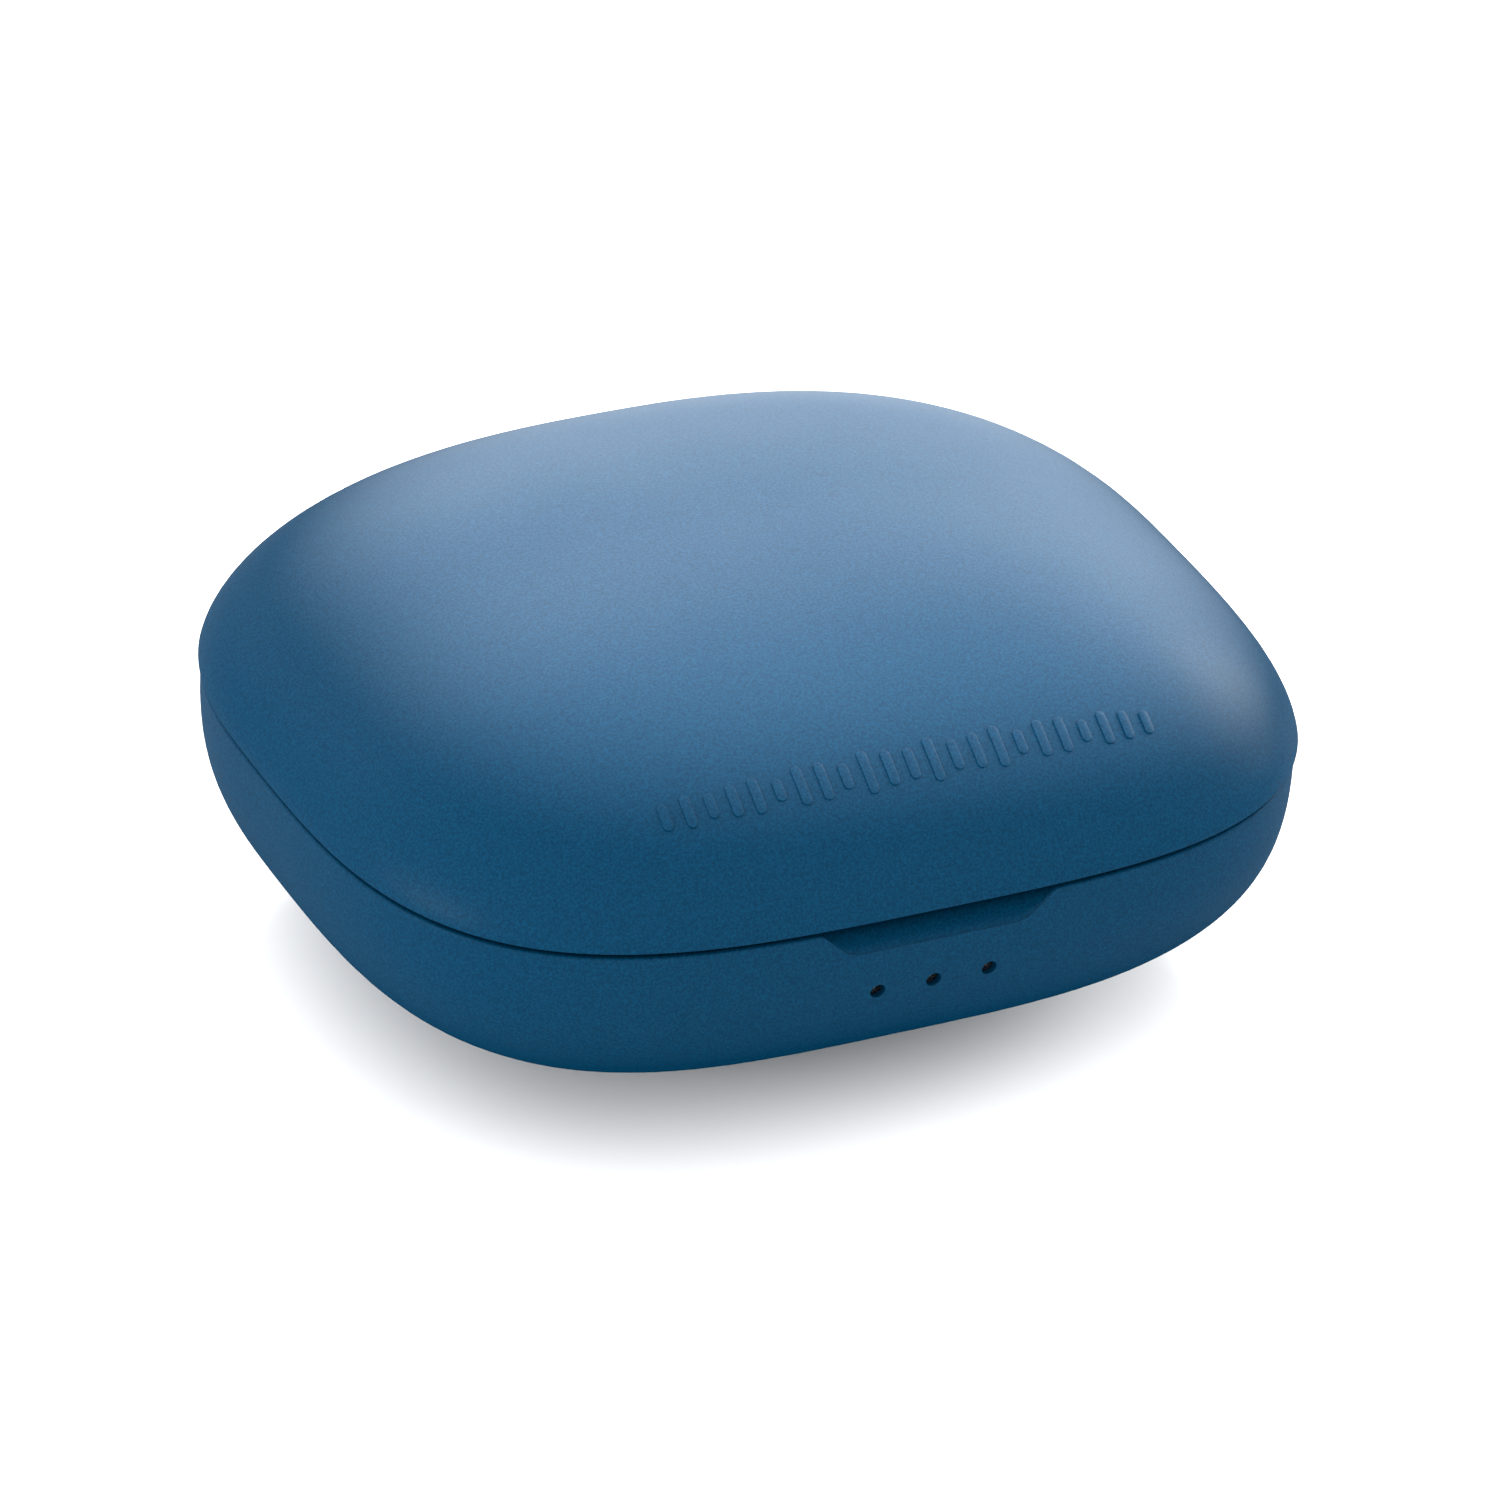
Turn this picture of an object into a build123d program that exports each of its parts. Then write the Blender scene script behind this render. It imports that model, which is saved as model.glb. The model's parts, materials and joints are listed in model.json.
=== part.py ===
"""Wireless earbuds case: a pebble-shaped base and a lid on a rear hinge, with the parts inside.

Millimetres. +X is to the right, +Y is to the back, +Z is up, and the origin is at the centre of
the bounding box's underside. The lid is closed.
"""

import math
import os

from build123d import *

os.makedirs("parts", exist_ok=True)

# ---------------------------------------------------------------- outer form
WIDTH = 64.0  # lid, side to side
DEPTH = 56.4  # lid, front to back
HEIGHT = 28.2  # whole case
SEAM_Z = 16.6  # middle of the parting line
SEAM_GAP = 0.34
WAIST = 2.1  # the case is widest this far behind the middle of its depth
FRONT_POWER = 3.35  # superellipse powers of the outline, ahead of and behind its widest line
BACK_POWER = 2.57
CROWN_POWER = 1.63  # lid: how long the side stays upright
CROWN_ROUND = 2.5  # lid: how full the shoulder is
CROWN_END = 84  # degrees of the lid's curve that are drawn before its small flat top
BOWL_POWER = 3.1  # base: the same two values
BOWL_ROUND = 2.0
BOWL_CUT = 0.97  # share of the bowl's full curve that is above its flat underside
OVERHANG = 0.2  # the lid stands out past the base by this much
EDGE_ROUND = 0.2  # softened edges at the parting line

# ---------------------------------------------------------------- walls and general fits
BASE_WALL = 2.1
BASE_RIM = 1.4  # thinner wall above the ledge that carries the tray
BASE_FLOOR = 1.5
LID_WALL = 1.6
LID_RIM = 1.1  # thinner wall below the ledge that locates the liner
FIT = 0.12  # around a piece that drops into a rebate
AIR = 0.5  # between pieces that must not touch
SNUG = 0.02  # around a piece that is pressed or glued in
RUN = 0.05  # radial, around a piece that turns or slides

# ---------------------------------------------------------------- thumb notch and indicator holes
NOTCH_WIDTH = 16.0
NOTCH_BOTTOM_WIDTH = 11.6
NOTCH_HEIGHT = 2.0
NOTCH_DEPTH = 0.5  # at the rim
NOTCH_SLOPE = 8  # degrees, so that the scoop runs out towards its lower edge
NOTCH_ROUND = 1.8
LIGHT_COUNT = 3
LIGHT_PITCH = 3.7
LIGHT_Z = 11.6
LIGHT_HOLE_R = 0.5
LIGHT_SINK = 0.5  # the pipes' ends lie this far inside the face
LIGHT_ROOM = 3.4  # from the inside of the front wall to the indicator board
GUIDE = (10.4, 1.0, 2.2)  # the bar that joins the light pipes
INDICATOR_WIDTH = 16.0
LED = (1.6, 0.7, 0.8)
HALL_SENSOR = (1.6, 0.8, 2.8)

# ---------------------------------------------------------------- hinge
HINGE_R = 1.6
HINGE_HALF = 9.0  # half the length of the lid's barrel
KNUCKLE = 4.0  # length of each of the base's two knuckles
KNUCKLE_GAP = 0.15
LID_CLEAR = 0.3  # radial, from the base's knuckles to the hollow in the lid
BASE_CLEAR = 0.75  # radial, from the lid's barrel to the hollow in the base
COVE_WALL = 1.1
PIN_R = 0.5
SPRING_BORE_R = 1.15
SPRING_BORE = 6.0
SPRING_WIRE_R = 0.13
SPRING_TURNS = 8
COVE_END = 2.4  # the lid is cleared this far past the end of each knuckle
WEB_THICK = 1.0
WEB_HEIGHT = 3.3
WEB_INSET = 1.0  # the web is shorter than the barrel by this much at each end
WEB_ROUND = 0.8
WEB_GAP = 0.3  # between the web and the lid's wall, at the web's top
HINGE_SCREW_INSET = 3.0  # from the barrel's end
HINGE_SCREW_DROP = 1.0  # from the web's top edge
HINGE_SCREW_BITE = 1.0  # past the web, into its boss
HINGE_BOSS_R = 1.1
HINGE_SCREW_R = 0.5
HINGE_SCREW_HEAD_R = 0.9
HINGE_SCREW_HEAD = 0.5

# ---------------------------------------------------------------- tray and wells
DECK = 1.1
DECK_DROP = 0.3  # the deck lies this far below the base's rim
HEAD_R = 7.2
STEM_WIDTH = 6.4
STEM_DEPTH = 5.4
HEAD_ROUND = 3.0
STEM_ROUND = 2.4
WELL_LIP = 0.4
WELL_WALL = 0.8
HEAD_Y = 3.6  # centre of the well's round part
STEM_MARGIN = 4.4  # from the end of the stem channel to the inside of the front wall
EARBUD_MAGNET = (4.0, 7.0)
EARBUD_MAGNET_INSET = 3.0  # from the end of the stem channel

# ---------------------------------------------------------------- charging pins under each well
PIN_PITCH = 3.0
PLUNGER_R = 0.45
PLUNGER_TRAVEL = 0.7
PLUNGER = 2.6
PLUNGER_ROUND = 0.27
BARREL_R = 0.75
BARREL_BASE = 0.2
BLOCK = (6.4, 3.2)
BLOCK_Z = 4.6
BLOCK_ROUND = 0.5
CHARGE_RIBBON = 2.4
CHARGE_RIBBON_LAP = 1.6  # the ribbon reaches this far onto the board
PIN_SPRING_WIRE_R = 0.06
PIN_SPRING_TURNS = 5

# ---------------------------------------------------------------- board, battery, port
BATTERY_THICK = 4.0
BATTERY_SIDE = 2.3  # from the battery's underside to the bowl, to the left and right
BATTERY_END = 5.4  # the same to the front and back
BATTERY_ROUND = 0.6
FOAM = 1.0
FOAM_SHARE = 0.7  # of the flat floor, so that the pad's corners stay on it
BOARD = 0.8
BOARD_GAP = 0.6  # between the battery and the board
BOARD_AHEAD = 5.0  # from the indicator board to the main board
BOARD_MARGIN = 2.2  # from the main board to the inside of the back wall
BOARD_ROUND = 1.0
BOSS_R = 1.3
BOSS_ROOM = 0.9  # between a boss and the battery
BOARD_SCREW_R = 0.5
BOARD_SCREW = 3.0
BOARD_SCREW_END = 0.2  # the boss's hole is deeper than the screw by this much
BOARD_SCREW_HEAD_R = 1.0
BOARD_SCREW_HEAD = 0.6
SOCKET_R = 0.4
SOCKET_WEB = 0.3
CHIPS = {  # y from the middle of the board, then width, length, height
    "microcontroller": (-7.3, 5.0, 5.0, 0.9),
    "charge_controller": (-0.3, 4.0, 4.0, 0.8),
    "boost_inductor": (5.7, 4.0, 4.0, 2.0),
}
CHIP_EDGE = 0.15
LEAD_SOCKET = (4.6, 2.4, 1.6)
LEAD_SOCKET_INSET = 2.0  # from the front edge of the board
LEAD_PITCH = 2.0
LEAD_R = 0.35
LEAD_BEND = 1.0
LEAD_BULGE = 1.2  # the leads pass this far ahead of the board
PORT = (8.94, 3.26)
PORT_LENGTH = 7.3
PORT_METAL = 0.3
PORT_SINK = 0.9  # the port's mouth lies this far inside the back face
PORT_CLEAR = 0.28
TONGUE = (6.7, 4.6, 0.7)
TONGUE_ROOT = 1.4
RIBBON = 0.15
INDICATOR_RIBBON = (3.0, 6.0)  # x of its two edges
INDICATOR_RIBBON_LAP = 1.5

# ---------------------------------------------------------------- magnets and lid liner
MAGNET_R = 1.5
MAGNET_THICK = 1.4
MAGNET_ANGLE = 30  # degrees forward of the widest line
MAGNET_INSET = 4.6  # from the outline to the magnet's centre
MAGNET_EDGE = 0.15
HALL_X = -5.8
HALL_MAGNET_R = 1.2
HALL_MAGNET = 1.2
LINER_WALL = 0.9
LINER_FLANGE = 7.4  # width of the liner's flat border
LINER_AIR = 0.45  # under the top of the lid

HALF_X = WIDTH / 2
HALF_Y = DEPTH / 2
CROWN_FULL = 1 - math.cos(math.radians(CROWN_END)) ** CROWN_ROUND
BASE_X = HALF_X - OVERHANG
BASE_Y = HALF_Y - OVERHANG
BASE_TOP = SEAM_Z - SEAM_GAP / 2
LID_EDGE = SEAM_Z + SEAM_GAP / 2
DECK_TOP = BASE_TOP - DECK_DROP
DECK_Z = DECK_TOP - DECK
FLANGE_Z = LID_EDGE + FIT
FLANGE_TOP = FLANGE_Z + LINER_WALL
AXIS_Y = HALF_Y - HINGE_R - RUN
LID_COVE = HINGE_R + LID_CLEAR
BASE_COVE = HINGE_R + BASE_CLEAR
CELL_Z = BASE_FLOOR + FOAM
BOARD_Z = CELL_Z + BATTERY_THICK + BOARD_GAP
BOARD_TOP = BOARD_Z + BOARD
WELL_FLOOR_Z = BOARD_Z + RUN + WELL_WALL

OUTLINE_STEPS = 40
LEVELS = 14
SIDES = {"left": -1, "right": 1}


# ---------------------------------------------------------------- shapes
def on_outline(angle, half_x, half_y, share=1.0):
    """X and Y of the outline, in a direction seen from the middle of its widest line."""
    cos, sin = math.cos(angle), math.sin(angle)
    if sin < 0:
        power, half_depth = FRONT_POWER, half_y + WAIST
    else:
        power, half_depth = BACK_POWER, half_y - WAIST
    r = share * (abs(cos / half_x) ** power + abs(sin / half_depth) ** power) ** (-1 / power)
    return r * cos, WAIST + r * sin


def outline(half_x, half_y, share, z):
    points = []
    for step in range(OUTLINE_STEPS):
        angle = math.radians(90 + 360 * step / OUTLINE_STEPS)
        points.append((*on_outline(angle, half_x, half_y, share), z))
    return Wire([Spline(*points, periodic=True).edge()])


def extent(half_x, half_y, share):
    """Half width, front Y and back Y of the outline at a share of its full size."""
    return half_x * share, WAIST - (half_y + WAIST) * share, WAIST + (half_y - WAIST) * share


def dome(half_x, half_y, bottom, top):
    """The lid's form: upright at its edge, rounding over to a nearly flat crown."""
    rings = []
    for level in range(LEVELS + 1):
        share = math.cos(math.radians(CROWN_END) * level / LEVELS)
        rise = ((1 - share**CROWN_ROUND) / CROWN_FULL) ** (1 / CROWN_POWER)
        rings.append(outline(half_x, half_y, share, bottom + rise * (top - bottom)))
    return Solid.make_loft(rings)


def bowl_share(fall):
    """The bowl's size as a share of its rim, at a fall from 0 (rim) to 1 (underside)."""
    return (1 - (fall * BOWL_CUT) ** BOWL_POWER) ** (1 / BOWL_ROUND)


def bowl(half_x, half_y, bottom):
    """The base's form: upright at the rim, rounding under to a flat."""
    rings = []
    for level in range(LEVELS + 1):
        fall = math.sin(math.pi / 2 * level / LEVELS)
        rings.append(outline(half_x, half_y, bowl_share(fall), SEAM_Z - fall * (SEAM_Z - bottom)))
    return Solid.make_loft(rings)


def bowl_extent(wall, bottom, z):
    """Half width, front Y and back Y of the base's form inside a wall, at a height."""
    share = bowl_share((SEAM_Z - z) / (SEAM_Z - bottom))
    return extent(BASE_X - wall, BASE_Y - wall, share)


def lid_back(x, z):
    """Y of the inside of the lid's back wall at a height, beside the middle."""
    rise = (z - SEAM_Z) / (HEIGHT - LID_WALL - SEAM_Z)
    share = (1 - CROWN_FULL * rise**CROWN_POWER) ** (1 / CROWN_ROUND)
    half_x, _, back = extent(HALF_X - LID_WALL, HALF_Y - LID_WALL, share)
    return WAIST + (back - WAIST) * (1 - (x / half_x) ** BACK_POWER) ** (1 / BACK_POWER)


def block(x, y, z):
    """A box from its low and high values on each axis."""
    size = Box(x[1] - x[0], y[1] - y[0], z[1] - z[0], align=(Align.MIN,) * 3)
    return Pos(x[0], y[0], z[0]) * size


def slab(low, high):
    """Everything between two heights."""
    return block((-WIDTH, WIDTH), (-DEPTH, DEPTH), (low, high))


def post(x, y, low, high, r):
    return Pos(x, y, low) * Cylinder(r, high - low, align=(Align.CENTER, Align.CENTER, Align.MIN))


def rod_x(low, high, r):
    """A round bar on the hinge's axis."""
    bar = Cylinder(r, high - low, align=(Align.CENTER, Align.CENTER, Align.MIN))
    return Pos(low, AXIS_Y, SEAM_Z) * Rot(0, 90, 0) * bar


def within_form(shape):
    """The part of a shape that lies inside the closed case."""
    return shape & (dome(HALF_X, HALF_Y, SEAM_Z, HEIGHT) + bowl(BASE_X, BASE_Y, 0))


def rod_y(x, z, low, high, r):
    bar = Cylinder(r, high - low, align=(Align.CENTER, Align.CENTER, Align.MIN))
    return Pos(x, low, z) * Rot(-90, 0, 0) * bar


def coil(length, r, wire, turns):
    """A spring along +Z from the origin."""
    path = Helix(pitch=length / turns, height=length, radius=r)
    return sweep(Plane(origin=path @ 0, z_dir=path % 0) * Circle(wire), path=path)


def save(node, shape):
    export_step(shape, f"parts/{node}.step")


# ---------------------------------------------------------------- places that several pieces share
INNER_FRONT = bowl_extent(BASE_WALL, BASE_FLOOR, LIGHT_Z)[1]
LIGHT_FACE = bowl_extent(0, 0, LIGHT_Z)[1]
LIGHT_BOARD_Y = INNER_FRONT + LIGHT_ROOM
BLOCK_TOP = WELL_FLOOR_Z - WELL_WALL - SNUG
HEAD_X = min(
    bowl_extent(BASE_WALL, BASE_FLOOR, WELL_FLOOR_Z)[0] - HEAD_R - WELL_WALL - 2 * AIR,
    bowl_extent(BASE_WALL, BASE_FLOOR, BLOCK_Z)[0] - BLOCK[0] / 2 - AIR,
)
STEM_END = INNER_FRONT + WELL_WALL + STEM_MARGIN
BOARD_HALF = HEAD_X - HEAD_R - WELL_WALL - AIR
BOARD_FRONT = LIGHT_BOARD_Y + BOARD_AHEAD
BOARD_BACK = bowl_extent(BASE_WALL, BASE_FLOOR, BOARD_Z)[2] - BOARD_MARGIN
CELL_HALF, CELL_FRONT, CELL_BACK = bowl_extent(BASE_WALL, BASE_FLOOR, CELL_Z)
CELL_HALF -= BATTERY_SIDE
CELL_FRONT += BATTERY_END
CELL_BACK -= BATTERY_END
PORT_Z = BOARD_TOP + PORT[1] / 2
PORT_MOUTH = bowl_extent(0, 0, PORT_Z)[2] - PORT_SINK
BOSSES = [
    (sign * (BOARD_HALF - BOSS_R), y)
    for y in (CELL_FRONT - BOSS_R - BOSS_ROOM, CELL_BACK + BOSS_R + BOSS_ROOM)
    for sign in (-1, 1)
]
HINGE_SIDE = HINGE_HALF + KNUCKLE_GAP + KNUCKLE
HINGE_SCREWS = (HINGE_SCREW_INSET - HINGE_HALF, HINGE_HALF - HINGE_SCREW_INSET)
WEB_TOP = SEAM_Z + WEB_HEIGHT
WEB_HALF = HINGE_HALF - WEB_INSET
WEB_BACK = lid_back(WEB_HALF, WEB_TOP) - WEB_GAP
WEB_Y = WEB_BACK - WEB_THICK
HINGE_SCREW_Z = WEB_TOP - HINGE_SCREW_DROP
FOOT_TOP = HINGE_SCREW_Z - HINGE_BOSS_R - FIT
HALL_MAGNET_Y = LINER_FLANGE - HALF_Y - LINER_WALL - HALL_MAGNET_R - AIR


def lights():
    """The x of each indicator hole."""
    return [LIGHT_PITCH * (i - (LIGHT_COUNT - 1) / 2) for i in range(LIGHT_COUNT)]


# ---------------------------------------------------------------- base
def base_shell():
    outer = bowl(BASE_X, BASE_Y, 0)
    hollow = bowl(BASE_X - BASE_WALL, BASE_Y - BASE_WALL, BASE_FLOOR)
    rebate = bowl(BASE_X - BASE_RIM, BASE_Y - BASE_RIM, BASE_FLOOR) & slab(DECK_Z, HEIGHT)
    inside = rod_x(-HINGE_SIDE, HINGE_SIDE, BASE_COVE + COVE_WALL)
    for x, y in BOSSES:
        inside += post(x, y, 0, BOARD_Z, BOSS_R)
    shell = outer - hollow - rebate + (outer & inside)
    shell -= slab(BASE_TOP, HEIGHT)
    rim = shell.faces().sort_by(Axis.Z)[-1].outer_wire().edges()
    shell = fillet(rim, EDGE_ROUND)
    barrel_room = HINGE_HALF + KNUCKLE_GAP
    shell -= rod_x(-barrel_room, barrel_room, BASE_COVE)
    for low, high in ((-HINGE_SIDE, -barrel_room), (barrel_room, HINGE_SIDE)):
        shell += within_form(rod_x(low, high, HINGE_R))
    shell -= rod_x(-HINGE_SIDE + AIR, HINGE_SIDE - AIR, PIN_R + SNUG)
    for x, y in BOSSES:
        shell -= post(x, y, BOARD_Z - BOARD_SCREW - BOARD_SCREW_END, BOARD_Z, BOARD_SCREW_R)
    for x in lights():
        shell -= rod_y(x, LIGHT_Z, -HALF_Y, 0, LIGHT_HOLE_R)
    shell -= port_slot(PORT[0] + 2 * PORT_CLEAR, PORT[1] + 2 * PORT_CLEAR, 0, HALF_Y)
    return shell - thumb_notch()


def thumb_notch():
    """A shallow scoop in the front of the rim: deepest at the rim, with rounded lower corners."""
    top, bottom = NOTCH_WIDTH / 2, NOTCH_BOTTOM_WIDTH / 2
    low, high = -NOTCH_HEIGHT, NOTCH_HEIGHT
    corners = [(-top, high), (-top, 0), (-bottom, low), (bottom, low), (top, 0), (top, high)]
    face = Plane.XZ * make_face(Polyline(*corners, close=True))
    face = fillet(face.vertices().sort_by(Axis.Z)[:2], NOTCH_ROUND)
    return Pos(0, NOTCH_DEPTH - BASE_Y, SEAM_Z) * Rot(-NOTCH_SLOPE, 0, 0) * extrude(face, DEPTH)


def well(sign, grow):
    """The room of one earbud: a round pocket and a stem channel, grown by a wall's thickness."""
    x = sign * HEAD_X
    top = DECK_TOP if grow else HEIGHT
    head = post(x, HEAD_Y, WELL_FLOOR_Z - grow, top, HEAD_R + grow)
    head = fillet(head.edges().sort_by(Axis.Z)[0], HEAD_ROUND + grow)
    half = STEM_WIDTH / 2 + grow
    run = Pos(x, 0, 0) * block(
        (-half, half), (STEM_END - grow, HEAD_Y), (DECK_TOP - STEM_DEPTH - grow, top)
    )
    ends = run.edges().filter_by(Axis.Z).sort_by(Axis.Y)[:2]
    run = fillet(ends, half - RUN)
    floor = run.faces().sort_by(Axis.Z)[0].edges().sort_by(Axis.Y)[:-1]
    run = fillet(floor, STEM_ROUND)
    return head + run


def base_tray():
    plate = bowl(BASE_X - BASE_RIM - FIT, BASE_Y - BASE_RIM - FIT, BASE_FLOOR)
    tray = plate & slab(DECK_Z, DECK_TOP)
    reach_y = AXIS_Y - BASE_COVE - COVE_WALL - FIT
    half = HINGE_SIDE + FIT
    tray -= block((-half, half), (reach_y, DEPTH), (0, HEIGHT))
    for sign in SIDES.values():
        tray += well(sign, WELL_WALL)
    for sign in SIDES.values():
        tray -= well(sign, 0)
        for x in (sign * HEAD_X - PIN_PITCH / 2, sign * HEAD_X + PIN_PITCH / 2):
            tray -= post(x, HEAD_Y, 0, WELL_FLOOR_Z + AIR, PLUNGER_R + FIT)
    top = tray.faces().sort_by(Axis.Z)[-1]
    rims = [edge for wire in top.inner_wires() for edge in wire.edges()]
    return fillet(rims, WELL_LIP)


def board_and_power():
    corners = ((-BOARD_HALF, BOARD_HALF), (BOARD_FRONT, BOARD_BACK), (BOARD_Z, BOARD_TOP))
    board = block(*corners)
    board = fillet(board.edges().filter_by(Axis.Z), BOARD_ROUND)
    for x, y in BOSSES:
        board -= post(x, y, BOARD_Z, BOARD_TOP, BOARD_SCREW_R + RUN)
    save("main_board", board)
    screws = []
    for x, y in BOSSES:
        screw = post(x, y, BOARD_Z - BOARD_SCREW, BOARD_TOP, BOARD_SCREW_R)
        screw += post(x, y, BOARD_TOP, BOARD_TOP + BOARD_SCREW_HEAD, BOARD_SCREW_HEAD_R)
        screw -= post(x, y, BOARD_TOP + SOCKET_WEB, HEIGHT, SOCKET_R)
        screws.append(screw)
    save("board_screws", Compound(children=screws))
    cell = block((-CELL_HALF, CELL_HALF), (CELL_FRONT, CELL_BACK), (CELL_Z, CELL_Z + BATTERY_THICK))
    save("battery", fillet(cell.edges(), BATTERY_ROUND))
    flat = bowl_extent(BASE_WALL, BASE_FLOOR, BASE_FLOOR)
    half, front, back = (FOAM_SHARE * edge for edge in flat)
    pad = block((-half, half), (front, back), (BASE_FLOOR, CELL_Z))
    save("battery_foam", pad)


def chip(node, x, y, size):
    """A component on the main board, with its edges softened."""
    body = block(
        (x - size[0] / 2, x + size[0] / 2),
        (y - size[1] / 2, y + size[1] / 2),
        (BOARD_TOP, BOARD_TOP + size[2]),
    )
    save(node, chamfer(body.faces().sort_by(Axis.Z)[-1].edges(), CHIP_EDGE))


def battery_leads():
    plug_y = BOARD_FRONT + LEAD_SOCKET_INSET
    chip("battery_connector", 0, plug_y + LEAD_SOCKET[1] / 2, LEAD_SOCKET)
    low, high = CELL_Z + BATTERY_THICK / 2, BOARD_TOP + LEAD_SOCKET[2] / 2
    nose = BOARD_FRONT - LEAD_BULGE
    leads = []
    for x in (-LEAD_PITCH / 2, LEAD_PITCH / 2):
        route = [(CELL_FRONT, low), (nose, low), (nose, high), (plug_y, high)]
        path = FilletPolyline(*[(x, y, z) for y, z in route], radius=LEAD_BEND)
        leads.append(sweep(Plane(origin=path @ 0, z_dir=path % 0) * Circle(LEAD_R), path=path))
    save("battery_leads", Compound(children=leads))


def port_slot(width, height, low, high):
    """A bar with the port's round-ended section, from low to high along Y."""
    face = Plane((0, low, PORT_Z), x_dir=(1, 0, 0), z_dir=(0, 1, 0)) * SlotOverall(width, height)
    return extrude(face, high - low)


def usb_port():
    back = PORT_MOUTH - PORT_LENGTH
    metal = 2 * PORT_METAL
    can = port_slot(*PORT, back, PORT_MOUTH)
    can -= port_slot(PORT[0] - metal, PORT[1] - metal, back + PORT_METAL, PORT_MOUTH)
    save("usb_c_shell", can)
    root = back + PORT_METAL
    front = root + TONGUE_ROOT
    insert = port_slot(PORT[0] - metal - 2 * SNUG, PORT[1] - metal - 2 * SNUG, root, front)
    half, thick = TONGUE[0] / 2, TONGUE[2] / 2
    insert += block((-half, half), (root, front + TONGUE[1]), (PORT_Z - thick, PORT_Z + thick))
    save("usb_c_tongue", insert)


def indicators():
    half, height = LED[0] / 2, LED[2] / 2
    leds = []
    for x in lights():
        depth = (LIGHT_BOARD_Y - LED[1], LIGHT_BOARD_Y)
        leds.append(block((x - half, x + half), depth, (LIGHT_Z - height, LIGHT_Z + height)))
    save("indicator_leds", Compound(children=leds))
    back = LIGHT_BOARD_Y - LED[1] - FIT
    half, height = GUIDE[0] / 2, GUIDE[2] / 2
    guide = block((-half, half), (back - GUIDE[1], back), (LIGHT_Z - height, LIGHT_Z + height))
    for x in lights():
        guide += rod_y(x, LIGHT_Z, LIGHT_FACE + LIGHT_SINK, back, LIGHT_HOLE_R - RUN)
    save("light_guide", guide)
    half = INDICATOR_WIDTH / 2
    card_back = LIGHT_BOARD_Y + BOARD
    card = block((-half, half), (LIGHT_BOARD_Y, card_back), (BOARD_TOP + AIR, DECK_Z - AIR))
    save("indicator_board", fillet(card.edges().filter_by(Axis.Y), BOARD_ROUND / 2))
    half, top = HALL_SENSOR[0] / 2, DECK_Z - AIR - RUN
    depth = (card_back, card_back + HALL_SENSOR[1])
    sensor = block((HALL_X - half, HALL_X + half), depth, (top - HALL_SENSOR[2], top))
    save("hall_sensor", chamfer(sensor.faces().sort_by(Axis.Y)[-1].edges(), CHIP_EDGE))
    upright = block(INDICATOR_RIBBON, (card_back, card_back + RIBBON), (BOARD_TOP, LIGHT_Z))
    lap = BOARD_FRONT + INDICATOR_RIBBON_LAP
    level = block(INDICATOR_RIBBON, (card_back, lap), (BOARD_TOP, BOARD_TOP + RIBBON))
    save("indicator_ribbon", upright + level)


def charging_pins(side):
    sign = SIDES[side]
    x0 = sign * HEAD_X
    half_x, half_y = BLOCK[0] / 2, BLOCK[1] / 2
    y0 = HEAD_Y
    body = block((x0 - half_x, x0 + half_x), (y0 - half_y, y0 + half_y), (BLOCK_Z, BLOCK_TOP))
    body = fillet(body.edges().filter_by(Axis.Z), BLOCK_ROUND)
    barrels = []
    tip = WELL_FLOOR_Z + PLUNGER_TRAVEL
    for name, step in (("inner", -1), ("outer", 1)):
        x = x0 + sign * step * PIN_PITCH / 2
        body -= post(x, y0, BLOCK_Z, BLOCK_TOP, BARREL_R + SNUG)
        barrel = post(x, y0, BLOCK_Z, BLOCK_TOP, BARREL_R)
        seat = BLOCK_Z + BARREL_BASE
        barrel -= post(x, y0, seat, BLOCK_TOP, PLUNGER_R + RUN)
        barrels.append(barrel)
        plunger = post(x, y0, tip - PLUNGER, tip, PLUNGER_R)
        plunger = fillet(plunger.edges().sort_by(Axis.Z)[-1], PLUNGER_ROUND)
        save(f"charge_pin_{side}_{name}", plunger)
        wire = PIN_SPRING_WIRE_R
        room = tip - PLUNGER - seat
        end = wire + SNUG / 2
        spring = coil(room - 2 * end, PLUNGER_R - 2 * wire, wire, PIN_SPRING_TURNS)
        save(f"charge_spring_{side}_{name}", Pos(x, y0, seat + end) * spring)
    save(f"pin_block_{side}", body)
    save(f"pin_barrels_{side}", Compound(children=barrels))
    near, far = BOARD_HALF - CHARGE_RIBBON_LAP, HEAD_X - half_x
    span = sorted((sign * near, sign * far))
    half = CHARGE_RIBBON / 2
    ribbon = block(span, (y0 - half, y0 + half), (BOARD_Z - RIBBON, BOARD_Z))
    save(f"charge_ribbon_{side}", ribbon)
    under = DECK_TOP - STEM_DEPTH - WELL_WALL
    half, front = EARBUD_MAGNET[0] / 2, STEM_END + EARBUD_MAGNET_INSET
    depth = (front, front + EARBUD_MAGNET[1])
    magnet = block((x0 - half, x0 + half), depth, (under - MAGNET_THICK, under))
    save(f"earbud_magnet_{side}", chamfer(magnet.edges(), MAGNET_EDGE))


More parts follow.
